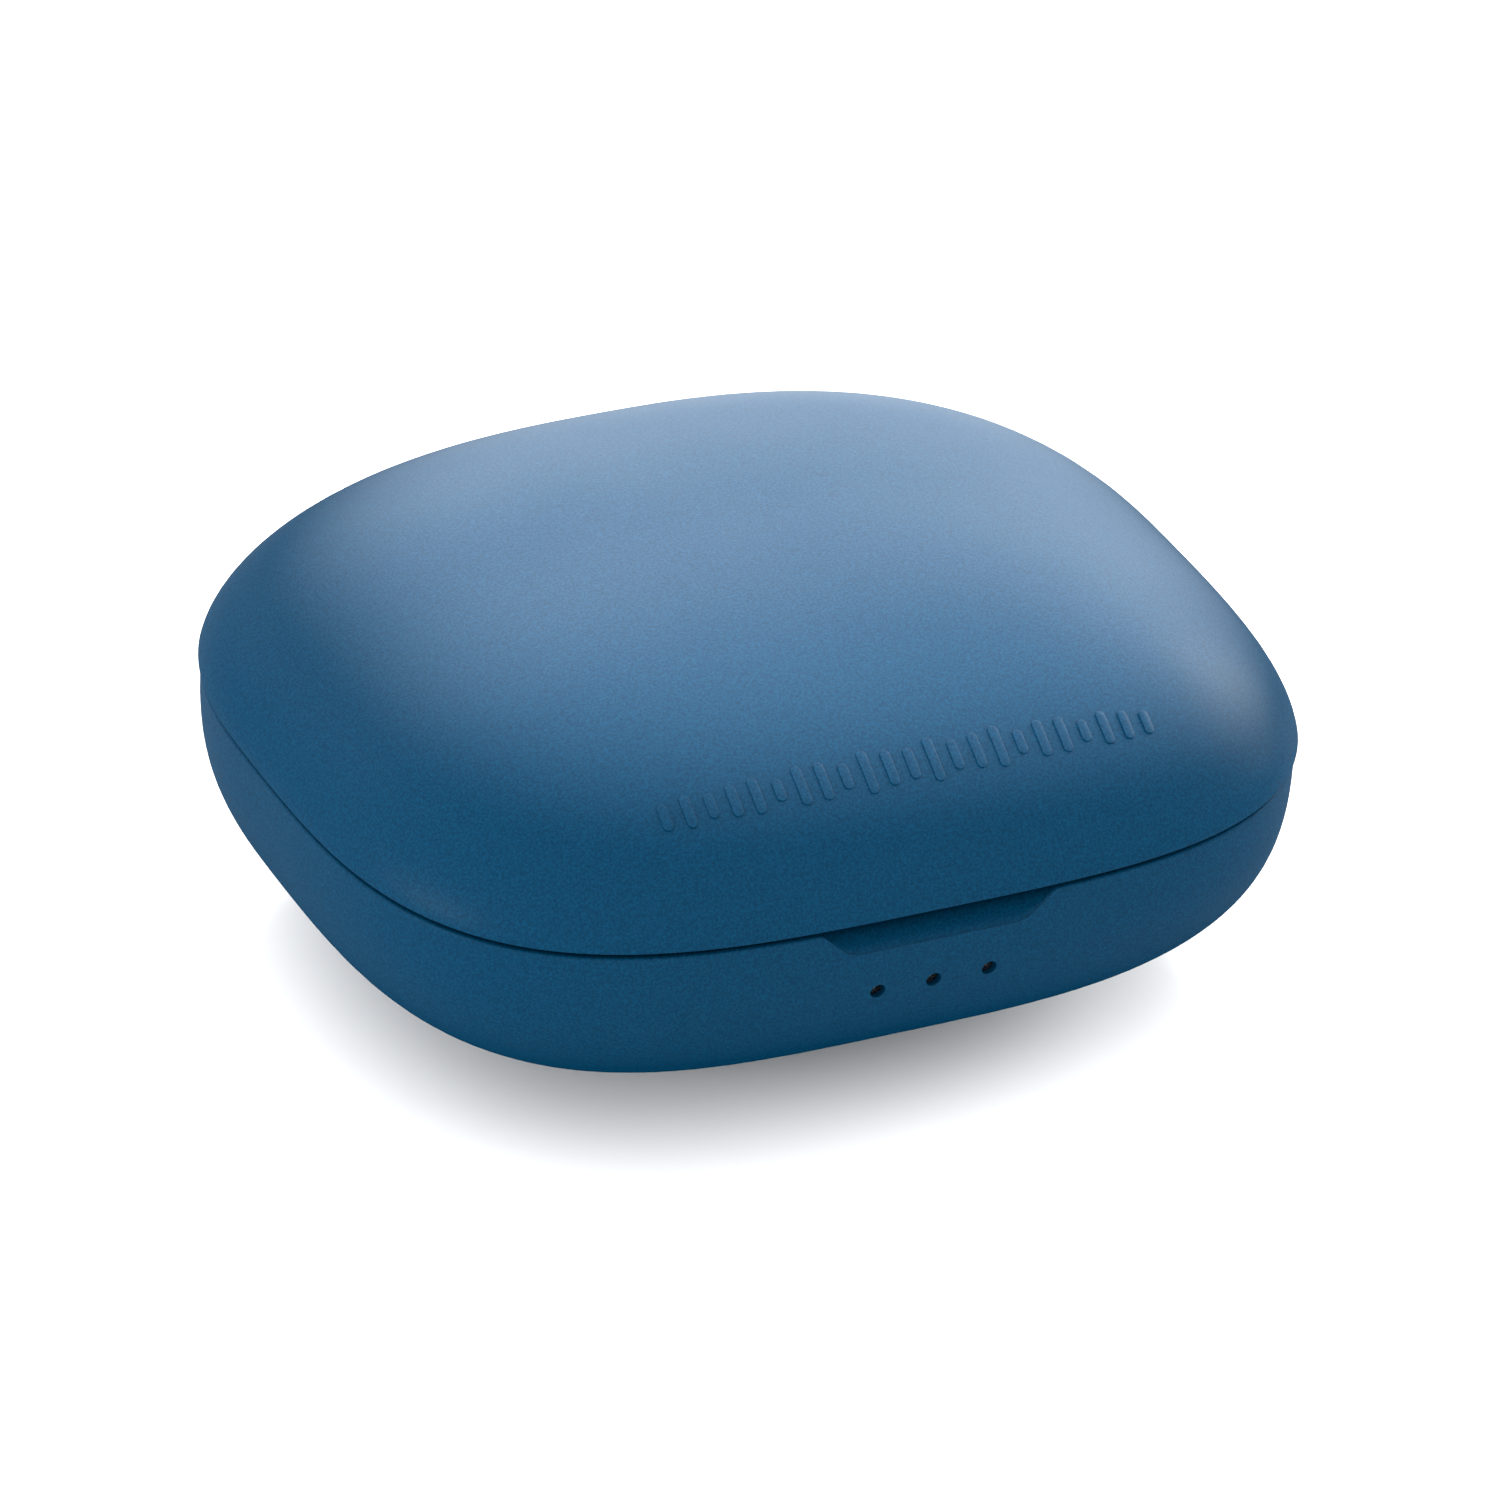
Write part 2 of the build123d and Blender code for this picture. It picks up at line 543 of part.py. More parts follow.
# ---------------------------------------------------------------- hinge
def hinge():
    """Barrel and web of the lid, the pin through it, and the spring inside the barrel."""
    spine = within_form(rod_x(-HINGE_HALF, HINGE_HALF, HINGE_R))
    bottom = LID_EDGE + FIT
    web = block((-WEB_HALF, WEB_HALF), (WEB_Y, WEB_BACK), (bottom, WEB_TOP))
    spine += fillet(web.edges().filter_by(Axis.Y).sort_by(Axis.Z)[-2:], WEB_ROUND)
    spine += block((-WEB_HALF, WEB_HALF), (WEB_Y, AXIS_Y), (bottom, FOOT_TOP))
    spine -= rod_x(-HINGE_HALF, HINGE_HALF, PIN_R + RUN)
    spine -= rod_x(HINGE_HALF - SPRING_BORE, HINGE_HALF, SPRING_BORE_R)
    screws = []
    for x in HINGE_SCREWS:
        spine -= rod_y(x, HINGE_SCREW_Z, WEB_Y, WEB_BACK, HINGE_SCREW_R + RUN)
        screw = rod_y(x, HINGE_SCREW_Z, WEB_Y, WEB_BACK + HINGE_SCREW_BITE, HINGE_SCREW_R)
        screw += rod_y(x, HINGE_SCREW_Z, WEB_Y - HINGE_SCREW_HEAD, WEB_Y, HINGE_SCREW_HEAD_R)
        screws.append(screw)
    save("hinge_spine", spine)
    save("hinge_screws", Compound(children=screws))
    save("hinge_pin", rod_x(-HINGE_SIDE + AIR, HINGE_SIDE - AIR, PIN_R))
    wire = SPRING_WIRE_R
    r = (SPRING_BORE_R + PIN_R) / 2
    length = SPRING_BORE - 2 * AIR
    spring = coil(length, r, wire, SPRING_TURNS)
    save("hinge_spring", Pos(HINGE_HALF - SPRING_BORE + AIR, AXIS_Y, SEAM_Z) * Rot(0, 90, 0) * spring)


# ---------------------------------------------------------------- lid
def lid_shell():
    outer = dome(HALF_X, HALF_Y, SEAM_Z, HEIGHT)
    hollow = dome(HALF_X - LID_WALL, HALF_Y - LID_WALL, SEAM_Z, HEIGHT - LID_WALL)
    rebate = dome(HALF_X - LID_RIM, HALF_Y - LID_RIM, SEAM_Z, HEIGHT - LID_RIM)
    shell = outer - hollow - (rebate & slab(0, FLANGE_TOP))
    shell -= slab(0, LID_EDGE)
    rim = shell.faces().sort_by(Axis.Z)[0].outer_wire().edges()
    shell = fillet(rim, EDGE_ROUND)
    bosses = Part()
    for x in HINGE_SCREWS:
        bosses += rod_y(x, HINGE_SCREW_Z, WEB_BACK, HALF_Y, HINGE_BOSS_R)
    shell += outer & bosses
    for x in HINGE_SCREWS:
        shell -= rod_y(x, HINGE_SCREW_Z, WEB_BACK, WEB_BACK + HINGE_SCREW_BITE, HINGE_SCREW_R)
    shell -= rod_x(-HINGE_HALF - KNUCKLE_GAP, HINGE_HALF + KNUCKLE_GAP, HINGE_R + FIT)
    for sign in SIDES.values():
        near, far = HINGE_HALF, HINGE_SIDE + COVE_END
        shell -= rod_x(*sorted((sign * near, sign * far)), LID_COVE)
    return shell


def lid_liner():
    open_x, open_y = HALF_X - LINER_FLANGE, HALF_Y - LINER_FLANGE
    top = HEIGHT - LID_WALL - LINER_AIR
    cap = dome(open_x + LINER_WALL, open_y + LINER_WALL, FLANGE_Z, top)
    flange = dome(HALF_X - LID_RIM - FIT, HALF_Y - LID_RIM - FIT, SEAM_Z, HEIGHT)
    liner = cap + (flange & slab(FLANGE_Z, FLANGE_TOP))
    liner -= dome(open_x, open_y, FLANGE_Z, top - LINER_WALL)
    half = HINGE_SIDE + COVE_END
    back = WEB_Y - HINGE_SCREW_HEAD - FIT
    return liner - block((-half, half), (back, DEPTH), (0, HEIGHT))


def magnets():
    angle = -math.radians(MAGNET_ANGLE)
    x, y = on_outline(angle, HALF_X - MAGNET_INSET, HALF_Y - MAGNET_INSET)
    for side, sign in SIDES.items():
        for part, top in (("base", DECK_Z), ("lid", FLANGE_TOP + MAGNET_THICK)):
            disc = post(sign * x, y, top - MAGNET_THICK, top, MAGNET_R)
            save(f"{part}_magnet_{side}", chamfer(disc.edges(), MAGNET_EDGE))
    trigger = post(HALL_X, HALL_MAGNET_Y, FLANGE_TOP, FLANGE_TOP + HALL_MAGNET, HALL_MAGNET_R)
    save("hall_magnet", chamfer(trigger.edges(), MAGNET_EDGE))


save("base_shell", base_shell())
save("base_tray", base_tray())
board_and_power()
battery_leads()
for part_name, (chip_y, *chip_size) in CHIPS.items():
    chip(part_name, 0, (BOARD_FRONT + BOARD_BACK) / 2 + chip_y, chip_size)
usb_port()
indicators()
for side_name in SIDES:
    charging_pins(side_name)
hinge()
save("lid_shell", lid_shell())
save("lid_liner", lid_liner())
magnets()
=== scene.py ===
# %% [markdown]
# # A pocket case for wireless earbuds
# The case is a smooth pebble made of two moulded shells. The lower one holds the battery, the board and a
# tray with a well for each earbud. The upper one is a lid that swings up on a hinge at the back. The frame
# that is loaded here already holds every part at its real size, so the work that is left is the looks:
# smooth surfaces, honest finishes, a raised emblem, and a quiet studio to see them in.

import json
import math

import bmesh
import bpy
from mathutils import Matrix, Vector
from mathutils.bvhtree import BVHTree
from mathutils.interpolate import poly_3d_calc


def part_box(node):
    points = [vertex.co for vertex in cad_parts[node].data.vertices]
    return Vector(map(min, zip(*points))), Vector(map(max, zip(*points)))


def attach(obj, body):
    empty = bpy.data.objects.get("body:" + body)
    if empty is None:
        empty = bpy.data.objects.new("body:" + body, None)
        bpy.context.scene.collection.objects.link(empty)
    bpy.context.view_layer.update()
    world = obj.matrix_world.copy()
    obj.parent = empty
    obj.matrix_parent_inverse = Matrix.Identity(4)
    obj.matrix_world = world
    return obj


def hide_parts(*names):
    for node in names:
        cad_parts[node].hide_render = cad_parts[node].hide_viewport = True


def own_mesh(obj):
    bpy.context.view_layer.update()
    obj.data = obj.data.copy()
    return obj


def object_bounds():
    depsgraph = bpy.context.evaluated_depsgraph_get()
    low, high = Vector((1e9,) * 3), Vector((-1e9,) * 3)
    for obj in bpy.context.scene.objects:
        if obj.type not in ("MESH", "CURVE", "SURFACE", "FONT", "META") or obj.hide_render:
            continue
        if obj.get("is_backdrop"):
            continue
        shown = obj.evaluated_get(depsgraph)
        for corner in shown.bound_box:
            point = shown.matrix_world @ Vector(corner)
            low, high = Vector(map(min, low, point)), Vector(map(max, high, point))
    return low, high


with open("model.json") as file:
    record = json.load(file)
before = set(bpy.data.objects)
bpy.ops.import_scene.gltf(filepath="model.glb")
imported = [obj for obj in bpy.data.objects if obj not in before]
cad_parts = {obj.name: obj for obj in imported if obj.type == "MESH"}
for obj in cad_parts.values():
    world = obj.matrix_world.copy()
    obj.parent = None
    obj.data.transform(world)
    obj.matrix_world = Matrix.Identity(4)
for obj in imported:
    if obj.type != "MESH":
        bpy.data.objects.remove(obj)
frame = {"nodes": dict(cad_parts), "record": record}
cad_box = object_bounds()
MM = 0.001
print("parts:", len(frame["nodes"]), "size in mm:", [round(v / MM, 1) for v in cad_box[1] - cad_box[0]])

# %% [markdown]
# ## What the frame already knows
# Sizes are read from the parts and not typed again. The lid's box gives the outer width, depth and
# height, and the hinge joint gives the height of the parting line. Only the curves' powers are written
# here, because a box can't tell how full a curve is.

# %% Read the sizes
lid_low, lid_high = (Vector(corner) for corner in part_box("lid_shell"))
base_low, base_high = (Vector(corner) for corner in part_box("base_shell"))
joints = {joint["name"]: joint for joint in frame["record"]["behaviour"]["joints"]}
seam_z = joints["lid_hinge"]["pos_m"][2]
RIM_LOSS = 0.05 * MM  # the rounded rim keeps the lid's box this much inside its full outline
half_x = lid_high.x + RIM_LOSS
half_y = -lid_low.y + RIM_LOSS
overhang = half_x - base_high.x
WAIST = 2.1 * MM
FRONT_POWER = 3.35
BACK_POWER = 2.57
CROWN_POWER = 1.63
CROWN_ROUND = 2.5
CROWN_END = math.radians(84)
BOWL_POWER = 3.1
BOWL_ROUND = 2.0
BOWL_CUT = 0.97
print("parting line at", round(seam_z / MM, 2), "overhang", round(overhang / MM, 2))

# %% [markdown]
# ## The ideal form
# Seen from above, the outline is a superellipse: an ellipse with a higher power, which gives the soft
# square of a pebble. Seen from the side, a second pair of powers says how long the wall stays upright and
# how full the shoulder is. A ball is the easiest start, because it already has closed poles and even
# rings: each of its rings is pressed out to the outline, and each latitude becomes a height. Two such
# forms are made, one for each shell. They are never shown. They tell the shells what a perfect surface
# would be.

# %% A ball pressed into the case's outline
BALL_SEGMENTS = 192
BALL_RINGS = 128
POLE = 1e-6  # nearer than this to the ball's axis, a direction means nothing
EQUATOR = 1e-4  # points this near to the ball's middle belong to both halves
FLAT_SHARE = 0.15  # of the bowl's quarter turn goes to its flat underside


def reach(cos, sin, wide, deep):
    """Distance from the middle of the widest line to the outline, in a direction."""
    power, depth = (FRONT_POWER, deep + WAIST) if sin < 0 else (BACK_POWER, deep - WAIST)
    return (abs(cos / wide) ** power + abs(sin / depth) ** power) ** (-1 / power)


def crown(turn):
    """Share of the outline and height of the lid, at a turn from 0 (edge) to 1 (top)."""
    share = math.cos(turn * math.pi / 2)
    full = 1 - math.cos(CROWN_END) ** CROWN_ROUND
    rise = min(1.0, (1 - share**CROWN_ROUND) / full) ** (1 / CROWN_POWER)
    return share, seam_z + rise * (lid_high.z - seam_z)


def bowl(turn):
    """The same for the base, from 0 (rim) to 1 (middle of the underside)."""
    round_part = 1 - FLAT_SHARE
    fall = math.sin(min(turn / round_part, 1) * math.pi / 2)
    share = (1 - (fall * BOWL_CUT) ** BOWL_POWER) ** (1 / BOWL_ROUND)
    if turn > round_part:
        share *= (1 - turn) / FLAT_SHARE
    return share, seam_z - fall * (seam_z - base_low.z)


def pressed_ball(name, profile, wide, deep, up):
    """Half a ball, pressed into the outline. up is 1 for the lid and -1 for the base."""
    bm = bmesh.new()
    bmesh.ops.create_uvsphere(bm, u_segments=BALL_SEGMENTS, v_segments=BALL_RINGS, radius=1)
    other_half = [vert for vert in bm.verts if vert.co.z * up < -EQUATOR]
    bmesh.ops.delete(bm, geom=other_half, context="VERTS")
    for vert in bm.verts:
        flat = math.hypot(vert.co.x, vert.co.y)
        share, z = profile(math.atan2(abs(vert.co.z), flat) / (math.pi / 2))
        cos, sin = (vert.co.x / flat, vert.co.y / flat) if flat > POLE else (1, 0)
        r = share * reach(cos, sin, wide, deep)
        vert.co = (r * cos, WAIST + r * sin, z)
    mesh = bpy.data.meshes.new(name)
    bm.to_mesh(mesh)
    bm.free()
    mesh.shade_smooth()
    return mesh


lid_form = pressed_ball("lid_form", crown, half_x, half_y, 1)
base_form = pressed_ball("base_form", bowl, half_x - overhang, half_y - overhang, -1)
print("faces in the two forms:", len(lid_form.polygons), len(base_form.polygons))

# %% [markdown]
# ## Shells that shine evenly
# A part that comes from CAD is a net of loose, flat triangles. On a satin surface every facet would show
# as a faint patch. A copy of the part is welded into one skin, shaded smooth, and kept sharp only where
# two faces meet at a real edge. On the two outer shells the corners also take their direction from the
# ideal form, so a reflection runs over the shoulder without a ripple, right up to the rim, the holes and
# the thumb notch. The copy then stands for the part and moves with the same body.

# %% Weld and smooth a part
WELD = 0.001 * MM
SHARP_ANGLE = math.radians(32)
FORM_TOUCH = 0.05 * MM
FORM_TILT = math.cos(math.radians(14))
body_of_node = {
    node: body for body, nodes in frame["record"]["behaviour"]["bodies"].items() for node in nodes
}
slot_of_node = {row["node"]: row["material_slot"] for row in frame["record"]["subparts"]}


def form_direction(form, tree, point):
    """Where the ideal form faces at a point on it, or None away from it."""
    place, facing, index, distance = tree.find_nearest(point)
    if distance > FORM_TOUCH:
        return None
    corners = [form.vertices[i] for i in form.polygons[index].vertices]
    weights = poly_3d_calc([corner.co for corner in corners], place)
    direction = Vector()
    for corner, weight in zip(corners, weights):
        direction += corner.normal * weight
    return direction.normalized()


def follow_form(mesh, form):
    """Points the mesh's corners as the ideal form faces, where the two are one surface."""
    tree = BVHTree.FromPolygons([v.co for v in form.vertices], [p.vertices for p in form.polygons])
    directions = {}
    for vert in mesh.vertices:
        directions[vert.index] = form_direction(form, tree, vert.co)
    corners = [(0, 0, 0)] * len(mesh.loops)
    followed = 0
    for face in mesh.polygons:
        facing = [directions[index] for index in face.vertices]
        if all(facing) and all(face.normal.dot(way) > FORM_TILT for way in facing):
            followed += 1
            for loop, way in zip(face.loop_indices, facing):
                corners[loop] = tuple(way)
    mesh.normals_split_custom_set(corners)
    return followed


def refine(node, form=None):
    """A welded, smooth copy of a part, which stands for it."""
    bm = bmesh.new()
    bm.from_mesh(frame["nodes"][node].data)
    bmesh.ops.remove_doubles(bm, verts=bm.verts, dist=WELD)
    mesh = bpy.data.meshes.new(node + "_skin")
    bm.to_mesh(mesh)
    bm.free()
    mesh.shade_smooth()
    mesh.set_sharp_from_angle(angle=SHARP_ANGLE)
    followed = follow_form(mesh, form) if form else 0
    piece = bpy.data.objects.new(node + "_skin", mesh)
    bpy.context.scene.collection.objects.link(piece)
    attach(piece, body_of_node[node])
    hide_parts(node)
    print(node, "faces", len(mesh.polygons), "on the form", followed)
    return piece


# %% The two shells
shells = {
    "base_shell": refine("base_shell", base_form),
    "lid_shell": refine("lid_shell", lid_form),
}

# %% Every other part with a round surface
PLAIN = ("battery_foam", "indicator_ribbon", "charge_ribbon_left", "charge_ribbon_right", "indicator_leds")
refined = dict(shells)
for name in sorted(frame["nodes"]):
    if name not in refined and name not in PLAIN:
        refined[name] = refine(name)
print("refined parts:", len(refined))

# %% [markdown]
# ## Springs that give way
# When an earbud presses a charging pin down, the spring under it gets shorter by the same travel. The
# record says which part gives way on which joint, and which of its ends stays put. Each of those copies
# gets a mesh of its own, and the share of its length that it keeps at the pin's full travel is printed.

# %% Give each pin's spring its own mesh and work out the share of its length it keeps
for joint in joints.values():
    for spring in joint.get("deforming_nodes", []):
        spring_low, spring_high = (Vector(corner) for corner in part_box(spring["node"]))
        fixed = spring["fixed_end_z_m"]
        keep = 1 - joint["range_m"][1] / (spring_high.z - fixed)
        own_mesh(refined[spring["node"]])
        print(spring["node"], "keeps", round(keep, 2), "of its length")

# %% [markdown]
# ## Writing a material as sums
# A finish is built from nodes, and node trees are hard to read as lists of links. Here one small class
# wraps an output socket so that ordinary arithmetic adds the Math nodes: 1 - mask or noise * 0.2 can be
# written as it is thought. A second class holds the tree. Its one method, node(), makes any other node
# from its type, its settings and its inputs.

# %% The socket wrapper
class Signal:
    """A socket's output that can be added, multiplied and so on."""

    def __init__(self, finish, socket):
        self.finish = finish
        self.socket = socket

    def combine(self, operation, left, right):
        return self.finish.node("ShaderNodeMath", {"operation": operation}, {0: left, 1: right})

    def __add__(self, other):
        return self.combine("ADD", self, other)

    def __radd__(self, other):
        return self.combine("ADD", other, self)

    def __sub__(self, other):
        return self.combine("SUBTRACT", self, other)

    def __rsub__(self, other):
        return self.combine("SUBTRACT", other, self)

    def __mul__(self, other):
        return self.combine("MULTIPLY", self, other)

    def __rmul__(self, other):
        return self.combine("MULTIPLY", other, self)


# %% The material builder
class Finish:
    """A material while it is being wired."""

    def __init__(self, name):
        self.material = bpy.data.materials.new(name)
        self.material.use_nodes = True
        self.tree = self.material.node_tree
        self.tree.nodes.clear()

    def node(self, kind, settings=None, inputs=None, output=0):
        """Any node: its type, its settings, and the values or signals of its sockets."""
        made = self.tree.nodes.new(kind)
        for key, value in (settings or {}).items():
            setattr(made, key, value)
        for key, value in (inputs or {}).items():
            if isinstance(value, Signal):
                self.tree.links.new(value.socket, made.inputs[key])
            else:
                made.inputs[key].default_value = value
        return Signal(self, made.outputs[output])

    def place(self):
        """Where a point lies on the object, in metres."""
        return self.node("ShaderNodeTexCoord", output="Object")

    def noise(self, size, detail=2.0, roughness=0.5, stretch=None):
        """Noise from 0 to 1 with features about one size across."""
        where = self.place()
        if stretch:
            where = self.node("ShaderNodeMapping", inputs={"Vector": where, "Scale": stretch})
        inputs = {"Vector": where, "Scale": 1 / size, "Detail": detail, "Roughness": roughness}
        return self.node("ShaderNodeTexNoise", inputs=inputs)

    def blend(self, factor, first, second):
        """One colour turning into another."""
        settings = {"data_type": "RGBA", "blend_type": "MIX"}
        return self.node("ShaderNodeMix", settings, {0: factor, 6: first, 7: second}, output=2)

    def steps(self, signal, low, high):
        """0 below low, 1 above high, and even in between."""
        settings = {"interpolation_type": "SMOOTHSTEP"}
        inputs = {"Value": signal, "From Min": low, "From Max": high}
        return self.node("ShaderNodeMapRange", settings, inputs)

    def bump(self, height, depth, strength):
        inputs = {"Height": height, "Distance": depth, "Strength": strength}
        return self.node("ShaderNodeBump", inputs=inputs)

    def close(self, **sockets):
        """Ends the tree in a Principled shader and gives the finished material."""
        inputs = {key.replace("_", " "): value for key, value in sockets.items()}
        shader = self.node("ShaderNodeBsdfPrincipled", inputs=inputs)
        end = self.tree.nodes.new("ShaderNodeOutputMaterial")
        self.tree.links.new(shader.socket, end.inputs["Surface"])
        return self.material


def rgb(red, green, blue):
    return (red, green, blue, 1.0)


print("ready to mix finishes")

# %% [markdown]
# ## The shell's satin paint
# The moulding has a soft-touch paint: a deep petrol blue with a very fine grain. Three things make it. The
# grain, a fraction of a millimetre across, shifts the colour and raises a tiny bump. A slower cloud, a few
# millimetres wide, changes how rough the paint is. Last comes use: palms and thumbs polish the crown, a
# bit further down on the right, and leave the sides and the underside matt. That polish is a coat whose
# weight follows the height on the case. Under the same height mask the colour is also painted lighter:
# painted light on the crown, standing in for the brighter light that falls on the top.

# %% Satin blue
PAINTED_LIGHT_AND_COAT_LOW = 20.5 * MM  # the crown's coat and its painted lighter colour start here
PAINTED_LIGHT_AND_COAT_HIGH = 26.8 * MM  # to here
PAINTED_LIGHT_AND_COAT_TILT = 0.05  # and reach further down on the right
GRIPPED_LOW = 5 * MM
GRIPPED_HIGH = 12 * MM


# Painted light: a copy of a colour made 1.85 times lighter, for the crown that looks lit from above.
def painted_top_light(color):
    return rgb(*(1.85 * value for value in color))


def satin_blue(name, deep, light):
    finish = Finish(name)
    grain = finish.noise(0.16 * MM, detail=3, roughness=0.7)
    speck = finish.steps(grain, 0.35, 0.68)
    cloud = finish.noise(7 * MM, detail=2)
    tone = finish.blend(speck, rgb(*deep), rgb(*light))
    across = finish.node("ShaderNodeSeparateXYZ", inputs={0: finish.place()}, output=0)
    height = finish.node("ShaderNodeSeparateXYZ", inputs={0: finish.place()}, output=2)
    # Painted light: this height mask sets the crown's coat and also lightens the crown's colour.
    crown = finish.steps(height + across * PAINTED_LIGHT_AND_COAT_TILT, PAINTED_LIGHT_AND_COAT_LOW, PAINTED_LIGHT_AND_COAT_HIGH)
    side = finish.steps(height, GRIPPED_LOW, GRIPPED_HIGH)
    # Painted light: under the mask the colour turns into its lighter copy.
    tone = finish.blend(crown, tone, finish.blend(speck, painted_top_light(deep), painted_top_light(light)))
    polish = (crown * 0.5 + side * 0.09) * (0.8 + grain * 0.3 + cloud * 0.1)
    normal = finish.bump(grain, 0.012 * MM, 0.35)
    return finish.close(
        Base_Color=tone, Roughness=0.5 + cloud * 0.1, Normal=normal, Specular_IOR_Level=0.0,
        Coat_Weight=polish, Coat_Roughness=0.4,
    )


materials = {
    "shell_blue": satin_blue("shell_blue", (0.0001, 0.021, 0.050), (0.0003, 0.034, 0.077)),
    "tray_blue": satin_blue("tray_blue", (0.0001, 0.019, 0.044), (0.0003, 0.030, 0.066)),
}
print("made", sorted(materials))

# %% [markdown]
# ## Plastics, rubber and foam
# Moulded plastic is never one flat colour: flow and the tool's spark-eroded texture leave a fine mottle.
# One function makes them all from a colour, a roughness and the size of the mottle.

# %% Moulded plastics
def moulded(name, color, roughness, mottle, depth=0.006):
    finish = Finish(name)
    texture = finish.noise(mottle * MM, detail=4, roughness=0.65)
    flow = finish.noise(4 * MM, detail=2, stretch=(1.0, 0.4, 1.0))
    dark = rgb(*(value * 0.8 for value in color))
    pale = rgb(*(min(1.0, value * 1.15 + 0.004) for value in color))
    tone = finish.blend(finish.steps(texture * 0.6 + flow * 0.4, 0.35, 0.65), dark, pale)
    rough = roughness + (texture - 0.5) * 0.16 + (flow - 0.5) * 0.06
    normal = finish.bump(texture, depth * MM, 0.5)
    return finish.close(Base_Color=tone, Roughness=rough, Normal=normal)


materials["clear_plastic"] = moulded("clear_plastic", (0.012, 0.013, 0.016), 0.24, 0.3)
materials["black_plastic"] = moulded("black_plastic", (0.02, 0.02, 0.021), 0.45, 0.12)
materials["white_plastic"] = moulded("white_plastic", (0.78, 0.76, 0.70), 0.4, 0.2)
materials["foam_grey"] = moulded("foam_grey", (0.12, 0.12, 0.125), 0.9, 0.35, depth=0.05)
materials["lead_red"] = moulded("lead_red", (0.42, 0.02, 0.016), 0.38, 0.15)
materials["ferrite"] = moulded("ferrite", (0.045, 0.043, 0.042), 0.6, 0.08, depth=0.012)
print("made", sorted(materials))

# %% [markdown]
# ## Metals
# Turned and drawn metal carries fine lines along the way it was worked. Noise that is stretched along one
# axis gives those lines. Plating also dulls in patches, so a slow noise moves the roughness.

# %% Drawn and plated metals
LINE_DEPTH = 0.004 * MM


def drawn_metal(name, color, roughness, line, stretch):
    finish = Finish(name)
    lines = finish.noise(line * MM, detail=3, stretch=stretch)
    patches = finish.noise(1.5 * MM, detail=3)
    dull = rgb(*(value * 0.72 for value in color))
    tone = finish.blend(finish.steps(lines * 0.5 + patches * 0.5, 0.35, 0.65), dull, rgb(*color))
    rough = roughness + (lines - 0.5) * 0.18 + (patches - 0.5) * 0.14
    normal = finish.bump(lines, LINE_DEPTH, 0.5)
    return finish.close(Base_Color=tone, Roughness=rough, Metallic=1.0, Normal=normal)


materials["steel"] = drawn_metal("steel", (0.42, 0.42, 0.43), 0.32, 0.08, (0.08, 1.0, 1.0))
materials["gold"] = drawn_metal("gold", (0.86, 0.60, 0.24), 0.22, 0.06, (1.0, 1.0, 0.1))
materials["magnet_nickel"] = drawn_metal("magnet_nickel", (0.66, 0.64, 0.60), 0.2, 0.1, (1.0, 1.0, 0.2))
materials["battery_foil"] = drawn_metal("battery_foil", (0.66, 0.67, 0.68), 0.34, 0.25, (0.15, 1.0, 1.0))
print("made", sorted(materials))

# %% [markdown]
# ## Board and ribbon
# A circuit board is glass cloth under a coat of green lacquer, with copper that shows as slightly lighter
# lines. Square-edged cells give the traces, and a coat on top gives the wet gloss. The ribbon is amber
# film with copper lines that run along it.

# %% Lacquered board and amber ribbon
def board_green():
    finish = Finish("board_green")
    cells = {"distance": "CHEBYCHEV", "feature": "F1"}
    inputs = {"Vector": finish.place(), "Scale": 1 / (1.1 * MM)}
    trace = finish.steps(finish.node("ShaderNodeTexVoronoi", cells, inputs), 0.38, 0.46)
    weave = finish.noise(0.25 * MM, detail=2)
    tone = finish.blend(trace * 0.7 + weave * 0.2, rgb(0.006, 0.075, 0.028), rgb(0.02, 0.16, 0.06))
    normal = finish.bump(trace, 0.02 * MM, 0.4)
    rough = 0.34 + weave * 0.1
    return finish.close(Base_Color=tone, Roughness=rough, Normal=normal, Coat_Weight=0.6)


def ribbon_amber():
    finish = Finish("ribbon_amber")
    settings = {"wave_type": "BANDS", "bands_direction": "X"}
    inputs = {"Vector": finish.place(), "Scale": 0.32 / MM, "Distortion": 0.0}
    copper = finish.steps(finish.node("ShaderNodeTexWave", settings, inputs), 0.45, 0.6)
    haze = finish.noise(0.6 * MM, detail=3)
    tone = finish.blend(copper, rgb(0.42, 0.17, 0.03), rgb(0.62, 0.30, 0.08))
    rough = 0.3 + haze * 0.15
    return finish.close(Base_Color=tone, Roughness=rough, Normal=finish.bump(copper, 0.02 * MM, 0.5))


materials["board_green"] = board_green()
materials["ribbon_amber"] = ribbon_amber()
print("made", sorted(materials))

# %% [markdown]
# ## Finishes on parts
# The record names a finish for every part. A copy gets it as its only material. A part that is shown as it
# came keeps its mesh, so there only the material in its slots is exchanged.

# %% Put each finish on its parts
for name, node in frame["nodes"].items():
    finish = materials[slot_of_node[name]]
    if name in refined:
        refined[name].data.materials.append(finish)
    else:
        for place in node.material_slots:
            place.material = finish
print("finished parts:", len(frame["nodes"]))

# %% [markdown]
# ## The raised emblem
# A row of thin upright bars, like a sound wave, stands a tenth of a millimetre proud of the lid's front
# shoulder. Each bar starts as a cube that is cut across, so that it can bend, and its corners are rounded.
# It is then laid on the form: a ray dropped from each point finds the surface, and the point settles there
# at its own height.

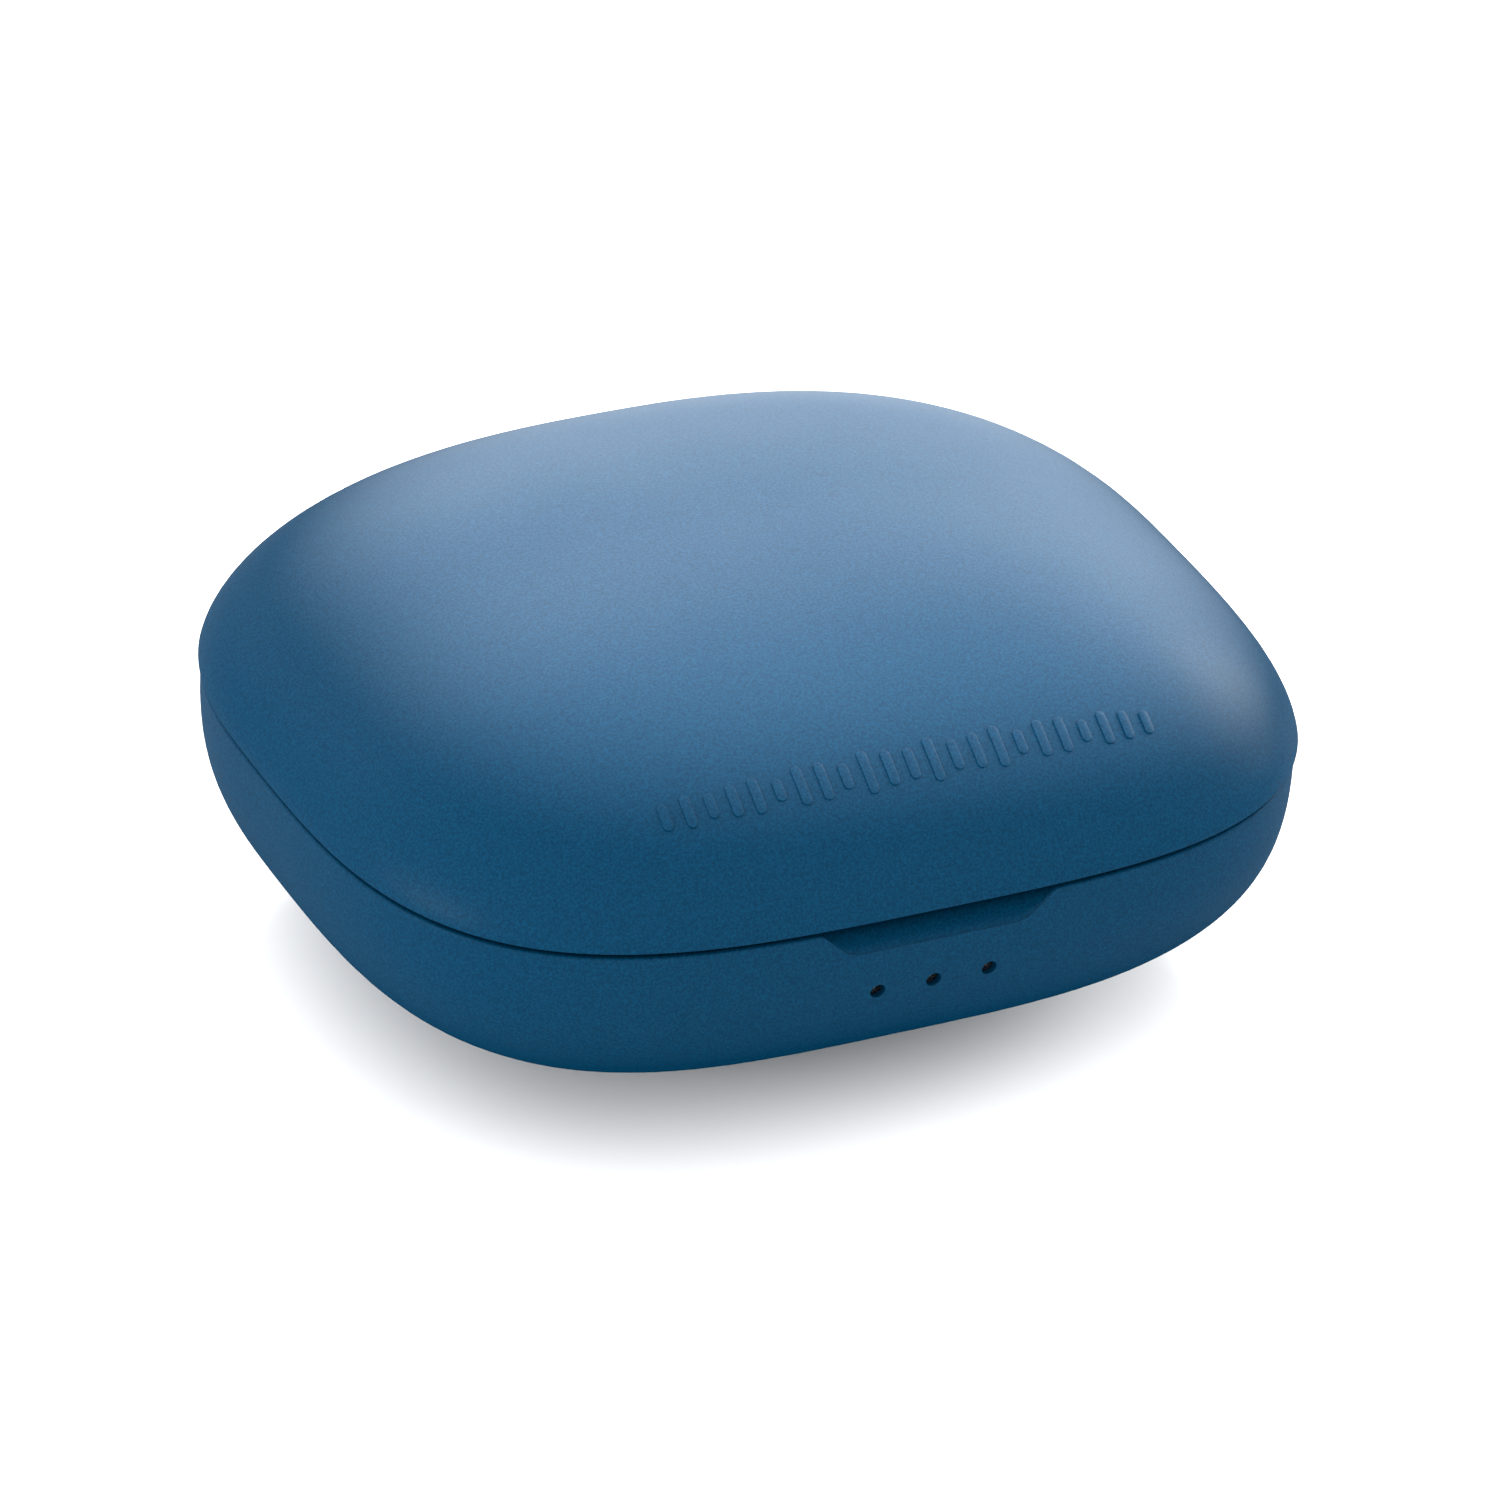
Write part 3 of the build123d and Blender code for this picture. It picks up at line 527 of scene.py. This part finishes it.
# %% The emblem's sizes
BAR_WIDTH = 0.62 * MM
BAR_PITCH = 1.45 * MM
BAR_SHORT = 1.4 * MM
BAR_TALL = 3.0 * MM
BAR_COUNT = 23
BAR_RELIEF = 0.13 * MM
BAR_SINK = 0.25 * MM
BAR_CUTS = 7
BAR_CORNER = 0.48  # of the bar's width
BAR_SOFTEN = 0.05 * MM
SWELL_ENDS = 0.35  # how much of the wave is left at the emblem's two ends
WAVE_TURN = 1.13  # radians from one bar to the next
WAVE_START = 0.6
EMBLEM_CENTRE = Vector((0.4 * MM, -22.2 * MM, lid_high.z))
print("emblem is", round((BAR_COUNT - 1) * BAR_PITCH / MM, 1), "mm from first bar to last")


# %% One bar, rounded and ready to bend


def bar(bm, x, length):
    """Adds one upright bar, flat and centred on x."""
    verts = bmesh.ops.create_cube(bm, size=1)["verts"]
    scale = (BAR_WIDTH, length, BAR_RELIEF + BAR_SINK)
    bmesh.ops.scale(bm, vec=scale, verts=verts)
    lift = (BAR_RELIEF - BAR_SINK) / 2
    bmesh.ops.translate(bm, vec=(x, 0, lift), verts=verts)
    edges = {edge for vert in verts for edge in vert.link_edges}
    posts = [e for e in edges if abs(e.verts[0].co.z - e.verts[1].co.z) > BAR_RELIEF]
    bmesh.ops.bevel(
        bm, geom=posts, offset=BAR_WIDTH * BAR_CORNER, offset_type="OFFSET", segments=5, profile=0.5,
        affect="EDGES", material=-1,
    )


def sound_wave(index):
    """Length of a bar: quick beats inside one slow swell."""
    place = (index + 0.5) / BAR_COUNT
    swell = SWELL_ENDS + (1 - SWELL_ENDS) * math.sin(math.pi * place)
    beat = abs(math.sin(index * WAVE_TURN + WAVE_START))
    return BAR_SHORT + (BAR_TALL - BAR_SHORT) * swell * beat


print("bars from", BAR_SHORT / MM, "to", BAR_TALL / MM, "mm long")


# %% Lay the bars on the shoulder
def emblem():
    bm = bmesh.new()
    for index in range(BAR_COUNT):
        bar(bm, (index - (BAR_COUNT - 1) / 2) * BAR_PITCH, sound_wave(index))
    for cut in range(1, BAR_CUTS):
        y = BAR_TALL * (cut / BAR_CUTS - 0.5)
        geom = bm.verts[:] + bm.edges[:] + bm.faces[:]
        bmesh.ops.bisect_plane(bm, geom=geom, plane_co=(0, y, 0), plane_no=(0, 1, 0))
    top_edges = [
        edge for edge in bm.edges
        if all(v.co.z > BAR_RELIEF * 0.9 for v in edge.verts)
        and any(face.normal.z < 0.5 for face in edge.link_faces)
    ]
    bmesh.ops.bevel(
        bm, geom=top_edges, offset=BAR_SOFTEN, offset_type="OFFSET", segments=2, profile=0.5,
        affect="EDGES", material=-1,
    )
    tree = BVHTree.FromPolygons([v.co for v in lid_form.vertices], [p.vertices for p in lid_form.polygons])
    middle, facing, _, _ = tree.ray_cast(EMBLEM_CENTRE, Vector((0, 0, -1)))
    along = Vector((1, 0, 0))
    up = facing.cross(along).normalized()
    out = along.cross(up)
    for vert in bm.verts:
        start = middle + along * vert.co.x + up * vert.co.y + out * 5 * MM
        spot, _, _, _ = tree.ray_cast(start, -out)
        way = form_direction(lid_form, tree, spot)
        vert.co = spot + way * vert.co.z
    mesh = bpy.data.meshes.new("wave_emblem")
    bm.to_mesh(mesh)
    bm.free()
    mesh.shade_smooth()
    mesh.set_sharp_from_angle(angle=math.radians(50))
    mesh.materials.append(materials["shell_blue"])
    piece = bpy.data.objects.new("wave_emblem", mesh)
    bpy.context.scene.collection.objects.link(piece)
    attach(piece, "lid")
    return piece, middle


wave, wave_place = emblem()
print("emblem faces", len(wave.data.polygons), "at", [round(v / MM, 1) for v in wave_place])

# %% [markdown]
# ## The studio
# The floor is a wide, pale, slightly glossy disc. White light comes from all around, as in a tent, so the
# floor turns white and the shade at the foot of the case is soft. Three large lights shape the form: one
# behind, which whitens the crown towards the back, and one at each side, which picks out the shoulders. The
# front faces none of them and keeps its deep colour.

# %% The floor
FLOOR_RADIUS = 3.0


def pale_floor():
    finish = Finish("pale_floor")
    haze = finish.noise(0.2, detail=2)
    tone = finish.blend(haze, rgb(0.86, 0.865, 0.87), rgb(0.89, 0.89, 0.89))
    return finish.close(Base_Color=tone, Roughness=0.13 + haze * 0.04, Specular_IOR_Level=0.25)


def floor_disc():
    bm = bmesh.new()
    bmesh.ops.create_circle(bm, cap_ends=True, segments=96, radius=FLOOR_RADIUS)
    mesh = bpy.data.meshes.new("floor")
    bm.to_mesh(mesh)
    bm.free()
    mesh.materials.append(pale_floor())
    piece = bpy.data.objects.new("floor", mesh)
    bpy.context.scene.collection.objects.link(piece)
    piece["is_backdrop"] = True


floor_disc()
print("floor radius in metres:", FLOOR_RADIUS)

# %% The lights
middle = (cad_box[0] + cad_box[1]) / 2


def soft_light(name, place, size, watts):
    """A rectangle of light that faces the case and isn't seen by the camera."""
    light = bpy.data.lights.new(name, "AREA")
    light.shape = "RECTANGLE"
    light.size, light.size_y = size
    light.energy = watts
    lamp = bpy.data.objects.new(name, light)
    facing = (middle - Vector(place)).to_track_quat("-Z", "Y").to_matrix().to_4x4()
    lamp.matrix_world = Matrix.Translation(place) @ facing
    lamp.visible_camera = False
    bpy.context.scene.collection.objects.link(lamp)


soft_light("behind", (0.25, 1.5, 0.85), (3.0, 1.3), 24)
soft_light("right", (1.5, 0.35, 0.5), (1.0, 0.7), 22)
soft_light("left", (-1.5, 0.0, 0.3), (0.8, 0.5), 12)
world = bpy.data.worlds.new("studio")
world.use_nodes = True
world.node_tree.nodes["Background"].inputs["Color"].default_value = rgb(1, 1, 1)
world.node_tree.nodes["Background"].inputs["Strength"].default_value = 2.1
bpy.context.scene.world = world
bpy.context.scene.view_settings.view_transform = "Standard"

# %% [markdown]
# ## The camera
# A long lens from well back keeps the pebble's shape honest: it stands a little to the left of the
# front, looks down by about thirty degrees, and is turned slightly about its own axis.

# %% Place the camera
AZIMUTH = math.radians(-27.09)
ELEVATION = math.radians(30.98)
ROLL = math.radians(3.47)
DISTANCE = 613.7 * MM
LENS = 239.3
AIM = Vector((0.34, -1.19, 12.5)) * MM


def camera():
    away = Vector((
        math.sin(AZIMUTH) * math.cos(ELEVATION),
        -math.cos(AZIMUTH) * math.cos(ELEVATION),
        math.sin(ELEVATION),
    ))
    right = (-away).cross(Vector((0, 0, 1))).normalized()
    up = right.cross(-away)
    turned_right = right * math.cos(ROLL) + up * math.sin(ROLL)
    turned_up = up * math.cos(ROLL) - right * math.sin(ROLL)
    data = bpy.data.cameras.new("camera")
    data.lens = LENS
    data.sensor_width = 36
    eye = bpy.data.objects.new("camera", data)
    eye.matrix_world = Matrix.Translation(AIM + away * DISTANCE) @ Matrix(
        (turned_right, turned_up, away)
    ).transposed().to_4x4()
    bpy.context.scene.collection.objects.link(eye)
    bpy.context.scene.camera = eye
    return eye


eye = camera()
print("camera at", [round(v / MM, 1) for v in eye.matrix_world.translation])

# %% [markdown]
# ## Finish
# The forms have done their work and go. The box of what is shown is written beside the CAD box, to prove
# that the looks didn't change the size.

# %% Check and close
for form in (lid_form, base_form):
    bpy.data.meshes.remove(form)
shown_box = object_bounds()
differences = [round((cad - shown).length / MM, 3) for cad, shown in zip(cad_box, shown_box)]
print("cad box and visual box differ by", differences, "mm")
